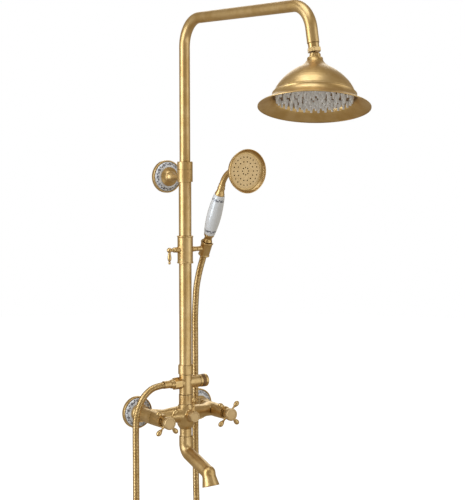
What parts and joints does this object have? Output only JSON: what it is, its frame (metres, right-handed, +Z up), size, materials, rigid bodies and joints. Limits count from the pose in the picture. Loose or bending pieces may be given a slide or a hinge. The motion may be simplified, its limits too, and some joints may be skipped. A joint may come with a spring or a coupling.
{
  "type": "rainfall shower column",
  "caption": "Wall-mounted bath and shower mixer with cross handles, swivel spout, telescopic riser, overhead rain head and hand shower on a hose.",
  "frame": {"origin": "on the wall plane, midway between the two inlet unions", "axes": "+X to the right seen from the room, +Y into the wall along the inlet threads, +Z up the riser"},
  "size_m": [0.236, 0.6464, 1.318],
  "materials": {
    "aged_brass": "brushed antique brass",
    "polished_brass": "satin, paler brass",
    "dark_brass": "darkened, knurled",
    "painted_ceramic": "white glaze with dark blue floral bands",
    "silicone": "translucent white silicone",
    "seal_rubber": "matt black",
    "nylon": "natural nylon",
    "steel": "zinc-plated",
    "hose_skin": "spiral-wound brass-coloured metal over a rubber liner"
  },
  "bodies": {
    "root": {"inlet_unions": "aged_brass", "pipe_seals": "seal_rubber", "union_nuts": "aged_brass", "wall_dishes": "aged_brass", "ceramic_rings": "painted_ceramic", "inner_dishes": "aged_brass", "mixer_body": "aged_brass", "valve_cartridges": "aged_brass", "valve_bonnets": "aged_brass", "lower_collar": "aged_brass", "tee_body": "aged_brass", "riser_nut": "aged_brass", "lower_tube": "aged_brass", "spout_collar": "aged_brass", "bracket_plate": "steel", "bracket_stem": "aged_brass", "riser_collar": "aged_brass", "lock_ring": "aged_brass", "lock_screw": "steel", "top_bush": "nylon", "hose_outlet_nut": "aged_brass", "hose_sleeve": "aged_brass", "hose_lower": "hose_skin"},
    "hot_handle": {"hot_spindle": "aged_brass", "hot_cross_handle": "aged_brass", "hot_cap": "polished_brass"},
    "cold_handle": {"cold_spindle": "aged_brass", "cold_cross_handle": "aged_brass", "cold_cap": "polished_brass"},
    "bath_diverter": {"bath_diverter_knob": "aged_brass", "bath_diverter_lever": "aged_brass"},
    "shower_diverter": {"shower_diverter_knob": "aged_brass", "knurled_ring": "dark_brass"},
    "bath_spout": {"spout": "aged_brass", "spout_seals": "seal_rubber"},
    "height_guide": {"guide_bush": "nylon"},
    "overhead_arm": {"bush_clip": "steel", "upper_tube": "aged_brass", "arm_adapter": "aged_brass", "ball_connector": "aged_brass"},
    "joint_seat": {"ball_seat": "nylon"},
    "rain_head": {"ball_nut": "aged_brass", "head_washer": "seal_rubber", "rain_head_bell": "aged_brass", "spray_plate": "aged_brass", "spray_nozzles": "silicone"},
    "slider_glide": {"slider_bush": "nylon", "hose_middle": "hose_skin"},
    "slider": {"slider_body": "aged_brass", "hose_upper": "hose_skin"},
    "clamp": {"clamp_lever": "aged_brass"},
    "cradle_cup": {"cradle": "aged_brass", "hose_end": "hose_skin"},
    "hand_shower": {"hose_cone_nut": "aged_brass", "handset_ferrule": "aged_brass", "handset_core": "aged_brass", "ceramic_grip": "painted_ceramic", "handset_neck": "aged_brass", "handset_shell": "aged_brass", "handset_face": "polished_brass"}
  },
  "joints": [
    {"name": "hot_valve", "type": "hinge", "parent": "root", "child": "hot_handle", "pos_m": [-0.075, -0.1, 0], "axis": [0, -1, 0], "range_deg": [0, 90]},
    {"name": "cold_valve", "type": "hinge", "parent": "root", "child": "cold_handle", "pos_m": [0.075, -0.1, 0], "axis": [0, 1, 0], "range_deg": [0, 90]},
    {"name": "bath_diverter_turn", "type": "hinge", "parent": "root", "child": "bath_diverter", "pos_m": [0, -0.105, 0], "axis": [0, 1, 0], "range_deg": [0, 90]},
    {"name": "shower_diverter_turn", "type": "hinge", "parent": "root", "child": "shower_diverter", "pos_m": [0.04, -0.076, 0.067], "axis": [1, 0, 0], "range_deg": [0, 90]},
    {"name": "spout_swivel", "type": "hinge", "parent": "root", "child": "bath_spout", "pos_m": [0, -0.076, -0.05], "axis": [0, 0, 1], "range_deg": [-60, 60]},
    {"name": "arm_height", "type": "slide", "parent": "root", "child": "height_guide", "axis": [0, 0, 1], "range_m": [-0.1, 0.12]},
    {"name": "arm_swivel", "type": "hinge", "parent": "height_guide", "child": "overhead_arm", "pos_m": [0, -0.076, 0.5], "axis": [0, 0, 1], "range_deg": [-60, 60]},
    {"name": "head_pitch", "type": "hinge", "parent": "overhead_arm", "child": "joint_seat", "pos_m": [0, -0.51145, 0.71937], "axis": [1, 0, 0], "range_deg": [-6, 6]},
    {"name": "head_roll", "type": "hinge", "parent": "joint_seat", "child": "rain_head", "pos_m": [0, -0.51145, 0.71937], "axis": [0, 1, 0], "range_deg": [-18, 2]},
    {"name": "slider_height", "type": "slide", "parent": "root", "child": "slider_glide", "axis": [0, 0, 1], "range_m": [-0.1, 0.05], "deforming": ["hose_lower"]},
    {"name": "slider_swivel", "type": "hinge", "parent": "slider_glide", "child": "slider", "pos_m": [0, -0.076, 0.345], "axis": [0, 0, 1], "range_deg": [-40, 40], "deforming": ["hose_middle"]},
    {"name": "clamp_turn", "type": "hinge", "parent": "slider", "child": "clamp", "pos_m": [-0.038, -0.076, 0.345], "axis": [-1, 0, 0], "range_deg": [0, 150]},
    {"name": "cradle_tilt", "type": "hinge", "parent": "slider", "child": "cradle_cup", "pos_m": [0.03, -0.076, 0.345], "axis": [1, 0, 0], "range_deg": [-15, 15], "deforming": ["hose_upper"]},
    {"name": "handset_lift", "type": "slide", "parent": "cradle_cup", "child": "hand_shower", "axis": [0, -0.4226, 0.9063], "range_m": [0, 0.06], "deforming": ["hose_end"]}
  ]
}
